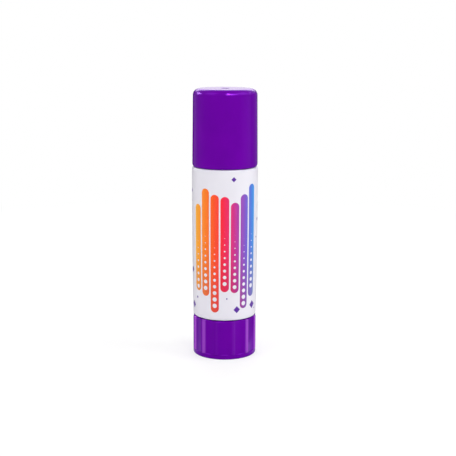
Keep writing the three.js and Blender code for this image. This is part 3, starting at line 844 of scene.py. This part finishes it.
def make_knob():
    """The knob is turned from one closed profile. Above the foot ring its wall goes over to lands and
    flutes: across a flute the depth is a parabola, from nothing at the lands on both sides, and the
    lands' edges are eased. The deck on top follows this outline, less and less towards the collar.
    The socket is drawn in to a hexagon. The lands are paler, most of all at the knob's two sides:
    partly wear, and partly a painted highlight where glints fall on them. The bands' spread and turn
    move them a little way over onto the lands' flanks."""
    across = np.linspace(-1, 1, COLUMNS_PER_FLUTE, endpoint=False)
    angles = ((np.arange(FLUTES)[:, None] + across / 2) * TURN / FLUTES).ravel()
    half_pitch = math.pi * (knob_radius + LAND_RISE) / FLUTES
    half_flute = half_pitch - LAND_WIDTH / 2
    from_land = half_flute - np.tile(np.abs(across), FLUTES) * half_pitch
    eased = (from_land + np.sqrt(from_land ** 2 + LAND_EDGE_EASE ** 2)) / 2
    wall = LAND_RISE - FLUTE_DEPTH * (1 - (1 - eased / half_flute) ** 2)

    hollow_radius = knob_radius + LAND_RISE - FLUTE_DEPTH - KNOB_WALL
    deck = GRIP_TOP - KNOB_DECK
    ring_inner = knob_radius - FOOT_RING_WIDTH
    socket_radius = SOCKET_FLATS / 2
    socket_floor = BOSS_TOP - SOCKET_DEPTH
    snap_low, snap_high = SNAP_HEIGHTS
    snap_slope = SNAP_RADIUS - COLLAR_RADIUS
    profile = rounded_profile([
        (0, FOOT_RECESS, 0),
        (ring_inner - FOOT_RING_SLOPE, FOOT_RECESS, EASED),
        (ring_inner, 0, FOOT_INNER_ROUNDING),
        (knob_radius, 0, FOOT_ROUNDING),
        (knob_radius, FLUTE_FOOT, 0),
        (knob_radius, FLUTE_FOOT + FLUTE_RUNOUT / 2, 0),
        (knob_radius, FLUTE_FOOT + FLUTE_RUNOUT, 0),
        (knob_radius, GRIP_TOP, SOFTER),
        (COLLAR_RADIUS, GRIP_TOP, CRISP),
        (COLLAR_RADIUS, snap_low, SHARP),
        (SNAP_RADIUS, snap_low + snap_slope, CRISP),
        (SNAP_RADIUS, snap_high - snap_slope, CRISP),
        (COLLAR_RADIUS, snap_high, SHARP),
        (COLLAR_RADIUS, knob_top, ROUND),
        (COLLAR_BORE_RADIUS, knob_top, EASED),
        (COLLAR_BORE_RADIUS, deck, SOFT),
        (hollow_radius, deck, ROUND),
        (hollow_radius, KNOB_FLOOR_TOP, ROUND),
        (BOSS_RADIUS, KNOB_FLOOR_TOP, ROUND),
        (BOSS_RADIUS, BOSS_TOP, EASED),
        (socket_radius, BOSS_TOP, CRISP),
        (socket_radius, socket_floor, CRISP),
        (0, socket_floor, 0),
    ], closed=False, span=1.0, arc_steps=6)
    radii, heights = profile.T
    highest_yet = np.maximum.accumulate(heights)
    on_grip = (highest_yet <= GRIP_TOP) & (radii > knob_radius - ROUND)
    fluted_rows = on_grip * smooth_step(heights, FLUTE_FOOT, FLUTE_FOOT + FLUTE_RUNOUT)
    on_deck = np.isclose(heights, GRIP_TOP)
    fluted_deck = on_deck * smooth_step(radii, COLLAR_RADIUS + CRISP, knob_radius - SOFTER)
    fluted_rows = np.maximum(fluted_rows, fluted_deck)
    past_rim = highest_yet > knob_top - ON_WALL
    in_socket = past_rim & (radii < socket_radius + CRISP + ON_WALL)
    radii = radii[:, None] + fluted_rows[:, None] * wall
    radii = np.where(in_socket[:, None], radii * hexagon_reach(angles), radii)
    grid = round_grid(radii, heights, angles)

    # Paler bands on the lands, strongest at the two sides: partly wear, partly a painted highlight
    highlight_at_sides = smooth_step(np.abs(np.cos(angles)), RUB_HIGHLIGHT_FROM_SIDE, RUB_HIGHLIGHT_FULL_SIDE)
    off_front = off_nearest(angles + TURN / 4 - RUB_HIGHLIGHT_TURN, TURN)
    band_place = off_front * RUB_HIGHLIGHT_SPREAD - TURN / FLUTES / 2
    bands = near_spokes(band_place, FLUTES, RUB_HIGHLIGHT_WIDTH, knob_radius, RUB_HIGHLIGHT_BLUR)
    worn_and_highlighted = fluted_rows[:, None] * highlight_at_sides * bands
    grid_piece(
        "knob_shell", grid, "poles", knob_pp, "knob", ["knob"], worn_and_highlighted)


def make_spindle():
    """The spindle is a hexagonal foot, a flange and a threaded rod on one axis. Along the rod the
    radius is the root's, plus the thread's depth where the height, moved down by the pitch for each
    turn round the axis, lies on the crest. The thread runs in above the flange and out at the tip."""
    profile = rounded_profile([
        (0, spindle_base, 0),
        (FOOT_FLATS / 2, spindle_base, SOFT),
        (FOOT_FLATS / 2, FLANGE_BASE, SHARP),
        (FLANGE_RADIUS, FLANGE_BASE, EASED),
        (FLANGE_RADIUS, FLANGE_BASE + FLANGE_THICKNESS, EASED),
        (THREAD_ROOT_RADIUS, FLANGE_BASE + FLANGE_THICKNESS, SOFT),
        (THREAD_ROOT_RADIUS, spindle_top, SOFTER),
        (0, spindle_top, 0),
    ], closed=False, span=0.14)
    radii, heights = profile.T
    angles = even_angles(SPINDLE_COLUMNS)
    crest_middle = FLANGE_BASE + THREAD_CREST_WIDTH / 2
    along_pitch = heights[:, None] - crest_middle + THREAD_PITCH * angles / TURN
    off_crest = off_nearest(along_pitch, THREAD_PITCH)
    crest_end = THREAD_CREST_WIDTH / 2
    flank_end = crest_end + THREAD_FLANK_WIDTH
    thread = 1 - smooth_step(off_crest, crest_end - THREAD_EDGE_BLUR, flank_end + THREAD_EDGE_BLUR)
    run_in = smooth_step(heights, THREAD_START, THREAD_START + THREAD_RUN_IN)
    run_out = 1 - smooth_step(heights, spindle_top - SPINDLE_TIP_TAPER, spindle_top)
    on_rod = np.abs(radii - THREAD_ROOT_RADIUS) < ON_WALL
    depth = (THREAD_RADIUS - THREAD_ROOT_RADIUS) * on_rod * run_in * run_out
    radii = radii[:, None] + depth[:, None] * thread
    on_foot = heights[:, None] < FLANGE_BASE - SHARP - ON_WALL
    radii = np.where(on_foot, radii * hexagon_reach(angles), radii)
    grid = round_grid(radii, heights, angles)
    grid_piece("spindle_rod", grid, "poles", natural_pp, "knob", ["spindle"])


def make_glue():
    """The glue is turned from one closed ring profile, with grooves for the barrel's ribs. Its top is
    worn: a slow wave and fine ripples lower it by a few tenths of a millimetre. Each is a product of
    two sines of the place across the top, with their turns given in radians per mm."""
    profile = rounded_profile([
        (GLUE_FOOT_RADIUS, glue_base, SOFT),
        (GLUE_FOOT_RADIUS, glue_base + GLUE_STEP, CRISP),
        (glue_radius, glue_base + GLUE_STEP, CRISP),
        (glue_radius, glue_top - GLUE_EDGE_FALL, GLUE_EDGE_ROUNDING),
        (GLUE_BORE_RADIUS, glue_top, GLUE_BORE_ROUNDING),
        (GLUE_BORE_RADIUS, glue_base, SOFT),
    ], closed=True, span=0.5, arc_steps=8)
    radii, heights = profile.T
    angles = even_angles(GLUE_COLUMNS)
    notches = near_spokes(angles, GUIDE_RIBS, NOTCH_WIDTH, glue_radius, NOTCH_EDGE_BLUR)
    above_step = heights > glue_base + GLUE_STEP - CRISP / 2
    near_wall = smooth_step(radii, NOTCH_START_RADIUS, glue_radius) * above_step
    x = radii[:, None] * np.cos(angles)
    y = radii[:, None] * np.sin(angles)
    slow = SLOW_WAVE_HEIGHT * np.sin(0.7 * x + 0.4) * np.cos(0.55 * y - 0.3)
    ripples = RIPPLE_HEIGHT * np.sin(2.1 * x + 1.3 * y) * np.sin(1.7 * y - 0.9 * x + 1.0)
    worn = smooth_step(heights, glue_top - WORN_REACH, glue_top - WORN_FULL)[:, None]
    wear = (slow + ripples - WORN_DEPTH) * worn
    radii = radii[:, None] - NOTCH_DEPTH * near_wall[:, None] * notches
    grid = round_grid(radii, heights[:, None] + wear, angles)
    grid_piece("glue_charge", grid, "ring", glue_wax, "carrier", ["glue"])


make_cap()
make_barrel()
make_label()
make_knob()
make_spindle()
make_glue()
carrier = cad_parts["carrier"]
carrier.data.materials.clear()
carrier.data.materials.append(natural_pp)


# Floor, backdrop and light, in metres
WHITE = (1, 1, 1, 1)
FLOOR_RADIUS = 1.6
FLOOR_CORNERS = 96
FLOOR_LIFT = 0.62
FLOOR_FADE = (0.08, 0.3)
SHADOW_SHARE = 0.36
FILL_LEVEL = 0.5
STICK_MIDDLE = 0.06
CARD_START = 0.0115
CARD_DISTANCE = 0.5
CARD_HEIGHT = 0.22
CARD_LIFT = 0.0003
CARD_STEPS = 24


def seen_directly(node):
    """1 for what the camera, a mirror or a glass sees, and 0 for light that falls on a surface."""
    path = node("ShaderNodeLightPath").node
    seen = arithmetic(node, "MAXIMUM", path.outputs["Is Camera Ray"], path.outputs["Is Glossy Ray"])
    return arithmetic(node, "MAXIMUM", seen, path.outputs["Is Transmission Ray"])


def make_floor():
    """A round pale floor. Seen directly it is lifted to white and keeps the stick's shadow. From the
    first distance of FLOOR_FADE to the second it goes over to the backdrop's plain white."""
    angles = even_angles(FLOOR_CORNERS)
    rim = np.stack([np.cos(angles), np.sin(angles), np.zeros(len(angles))], axis=1) * FLOOR_RADIUS
    mesh = bpy.data.meshes.new("floor")
    mesh.from_pydata(rim.tolist(), [], [list(range(len(angles)))])
    material, node = new_material("studio_floor")
    pale = node("ShaderNodeBsdfDiffuse", {"Color": linear("#e4e4e6")})
    shaded = node("ShaderNodeBsdfDiffuse", {"Color": (SHADOW_SHARE, SHADOW_SHARE, SHADOW_SHARE, 1)})
    lift = node("ShaderNodeEmission", {"Color": WHITE, "Strength": FLOOR_LIFT})
    near = node("ShaderNodeAddShader", {0: shaded, 1: lift})
    place = node("ShaderNodeTexCoord").node.outputs["Object"]
    far = spread(node, vector_length(node, place), *FLOOR_FADE)
    white = node("ShaderNodeEmission", {"Color": WHITE, "Strength": 1.0})
    lifted = node("ShaderNodeMixShader", {"Fac": far, 1: near, 2: white})
    surface = node("ShaderNodeMixShader", {"Fac": seen_directly(node), 1: pale, 2: lifted})
    node("ShaderNodeOutputMaterial", {"Surface": surface})
    mesh.materials.append(material)
    floor = new_object("floor", mesh)


def make_world():
    """White where it is seen directly, and an even dim fill for everything else."""
    world = bpy.data.worlds.new("studio")
    world.use_nodes = True
    world.node_tree.nodes.clear()
    node = partial(add, world.node_tree)
    strength = spread(node, seen_directly(node), 0.0, 1.0, FILL_LEVEL, 1.0)
    backdrop = node("ShaderNodeBackground", {"Color": WHITE, "Strength": strength})
    node("ShaderNodeOutputWorld", {"Surface": backdrop})
    bpy.context.scene.world = world


def make_card(name, first_bearing, last_bearing, glow):
    """A card in an arc round the stick: it lies on the floor up to CARD_DISTANCE and stands up there.
    Only gloss mirrors it. A dark one, a flag, keeps the outlines deep in colour and a bright one puts
    a sheen beside them, and none of them takes light away or throws any."""
    turn = np.radians(np.linspace(first_bearing, last_bearing, CARD_STEPS))
    outwards = np.stack([np.sin(turn), -np.cos(turn), np.zeros(len(turn))], axis=1)
    low = (0, 0, CARD_LIFT)
    high = (0, 0, CARD_HEIGHT)
    points = np.concatenate([
        outwards * CARD_START + low, outwards * CARD_DISTANCE + low, outwards * CARD_DISTANCE + high])
    here = np.arange(len(turn) - 1)
    strip = np.stack([here, here + 1, here + 1 + len(turn), here + len(turn)], axis=1)
    mesh = bpy.data.meshes.new(name)
    mesh.from_pydata(points.tolist(), [], strip.tolist() + (strip + len(turn)).tolist())
    material, node = new_material(name)
    surface = node("ShaderNodeEmission", {"Color": WHITE, "Strength": glow})
    node("ShaderNodeOutputMaterial", {"Surface": surface})
    mesh.materials.append(material)
    flag = new_object(name, mesh)
    for kind in ("camera", "diffuse", "shadow", "transmission", "volume_scatter"):
        setattr(flag, "visible_" + kind, False)


def make_softbox(name, bearing, rise, distance, width, height, power, only_gloss):
    """A rectangular lamp that faces the stick. Its bearing is in degrees to the right of the camera's
    side, and its rise in degrees above the level of the stick's middle. With only_gloss it gives a
    glint on what is glossy and no other light."""
    lamp = bpy.data.lights.new(name, "AREA")
    lamp.shape = "RECTANGLE"
    lamp.size = width
    lamp.size_y = height
    lamp.energy = power
    holder = new_object(name, lamp)
    turn = math.radians(bearing)
    tilt = math.radians(rise)
    holder.location = (
        distance * math.sin(turn) * math.cos(tilt),
        -distance * math.cos(turn) * math.cos(tilt),
        STICK_MIDDLE + distance * math.sin(tilt))
    holder.rotation_euler = (math.pi / 2 - tilt, 0, turn)
    holder.visible_camera = False
    holder.visible_diffuse = not only_gloss


# Each card: name, first and last bearing in degrees, and glow
CARDS = [
    ("left_flag", -170, -142, 0.02),
    ("left_sheen_card", -142, -100, 0.6),
    ("right_sheen_card", 60, 100, 1.3),
    ("right_flag", 100, 170, 0.3),
    ("back_sheen_card", 170, 190, 1.3),
]

# Each lamp: name, bearing and rise in degrees, distance, width and height in metres, power in watts,
# and whether only gloss shows it
LAMPS = [
    ("key_lamp", 20, 32, 0.62, 0.17, 0.24, 0.8, False),
    ("key_glint", 14, 43, 0.62, 0.13, 0.22, 3.4, True),
    ("wing_glint", 37, 39, 0.62, 0.24, 0.16, 1.6, True),
    ("left_glint", -116, 23, 0.7, 0.31, 0.17, 2.9, True),
    ("right_glint", 111, 29, 0.7, 0.08, 0.08, 0.4, True),
    ("right_softbox", 78, 42, 0.8, 0.45, 0.45, 2.5, False),
    ("left_softbox", -60, 42, 0.8, 0.45, 0.45, 1.7, False),
    ("back_softbox", 180, 30, 0.7, 0.7, 0.35, 2.5, False),
]

make_floor()
make_world()
for card in CARDS:
    make_card(*card)
for lamp in LAMPS:
    make_softbox(*lamp)


# The camera stands in front and a little above the cap, and leans by the photograph's tilt.
CAMERA_DISTANCE = 0.333
CAMERA_HEIGHT = 0.1053
CAMERA_PITCH = 10.9
CAMERA_YAW = -0.14
CAMERA_ROLL = -0.2
SENSOR_MM = 36.0
FOCAL_PIXELS = 1050.0
IMAGE_PIXELS = 456.0
NEAREST_SEEN = 0.01

camera_data = bpy.data.cameras.new("camera")
camera_data.sensor_width = SENSOR_MM
camera_data.lens = SENSOR_MM * FOCAL_PIXELS / IMAGE_PIXELS
camera_data.clip_start = NEAREST_SEEN
camera = new_object("camera", camera_data)
camera.location = (0, -CAMERA_DISTANCE, CAMERA_HEIGHT)
camera.rotation_euler = (
    math.radians(90 - CAMERA_PITCH), math.radians(CAMERA_ROLL), math.radians(CAMERA_YAW))
bpy.context.scene.camera = camera
bpy.context.scene.view_settings.view_transform = "Standard"
